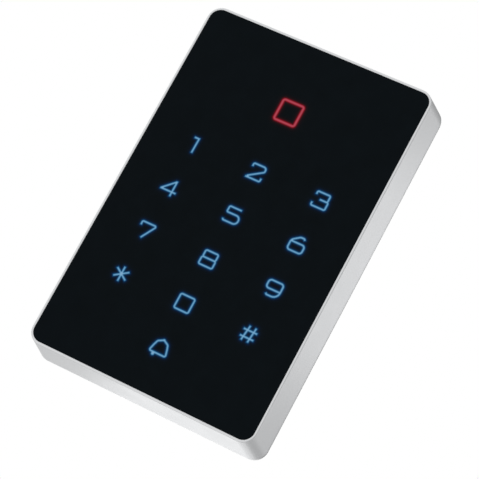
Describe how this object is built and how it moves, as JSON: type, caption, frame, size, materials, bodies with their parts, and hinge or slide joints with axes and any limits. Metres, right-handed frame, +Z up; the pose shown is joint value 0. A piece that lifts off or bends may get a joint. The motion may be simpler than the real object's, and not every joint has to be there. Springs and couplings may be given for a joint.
{
  "type": "keypad access reader",
  "caption": "Wall-mounted access reader with a drafted metal housing, flush black touch keypad, lit legends and a hook-on wall bracket.",
  "frame": {"origin": "middle of the wall bracket's wall face", "axes": "+X to the right seen from the front, the front faces -Y, +Z up"},
  "size_m": [0.0784, 0.0168, 0.1204],
  "materials": {
    "housing_metal": "satin",
    "black_panel": "gloss",
    "blue_legend": "lit satin",
    "red_legend": "lit satin",
    "adhesive": "matt",
    "film": "satin",
    "milky_plastic": "satin",
    "white_plastic": "satin",
    "copper_wire": "enamelled",
    "circuit_board": "solder mask",
    "led": "clear cast",
    "chip_plastic": "moulded",
    "tinned_metal": "tinned",
    "black_plastic": "moulded",
    "plunger_plastic": "moulded",
    "spring_steel": "drawn wire",
    "seal_silicone": "matt",
    "cover_plastic": "fine texture",
    "screw_steel": "passivated",
    "black_rubber": "matt",
    "bracket_steel": "stamped, zinc plated"
  },
  "bodies": {
    "bracket": {"wall_bracket": "bracket_steel"},
    "reader": {"housing": "housing_metal", "touch_panel": "black_panel", "legend_1": "blue_legend", "legend_2": "blue_legend", "legend_3": "blue_legend", "legend_4": "blue_legend", "legend_5": "blue_legend", "legend_6": "blue_legend", "legend_7": "blue_legend", "legend_8": "blue_legend", "legend_9": "blue_legend", "legend_star": "blue_legend", "legend_0": "blue_legend", "legend_hash": "blue_legend", "legend_bell": "blue_legend", "status_window": "red_legend", "panel_adhesive": "adhesive", "touch_film": "film", "diffuser": "milky_plastic", "light_mask": "white_plastic", "antenna_coil": "copper_wire", "main_board": "circuit_board", "key_leds": "led", "status_led": "led", "film_connector": "white_plastic", "touch_controller": "chip_plastic", "microcontroller": "chip_plastic", "reader_chip": "chip_plastic", "voltage_regulator": "tinned_metal", "crystal": "tinned_metal", "capacitors": "tinned_metal", "small_parts": "chip_plastic", "buzzer": "black_plastic", "cable_socket": "white_plastic", "board_screws": "screw_steel", "tamper_switch": "black_plastic", "back_seal": "seal_silicone", "back_cover": "cover_plastic", "cover_screws": "screw_steel", "cable_grommet": "black_rubber", "tamper_spring": "spring_steel"},
    "plunger": {"tamper_plunger": "plunger_plastic"},
    "screw_seal": {"lock_screw_seal": "black_rubber"},
    "screw": {"lock_screw": "screw_steel"}
  },
  "joints": [
    {"name": "reader_lift", "type": "slide", "parent": "bracket", "child": "reader", "axis": [0, 0, 1], "range_m": [0, 0.005]},
    {"name": "tamper_release", "type": "slide", "parent": "reader", "child": "plunger", "axis": [0, 1, 0], "range_m": [0, 0.0012], "deforming": ["tamper_spring"]},
    {"name": "lock_screw_travel", "type": "slide", "parent": "reader", "child": "screw_seal", "axis": [0, 0, 1], "range_m": [0, 0.0027]},
    {"name": "lock_screw_turn", "type": "hinge", "parent": "screw_seal", "child": "screw", "pos_m": [0, -0.0026, 0.0577], "axis": [0, 0, 1], "range_deg": [0, 2160]}
  ],
  "couplings": [
    {"joint": "tamper_release", "follows": "reader_lift", "ratio": 0.24},
    {"joint": "lock_screw_turn", "follows": "lock_screw_travel", "rad_per_m": 13963}
  ]
}
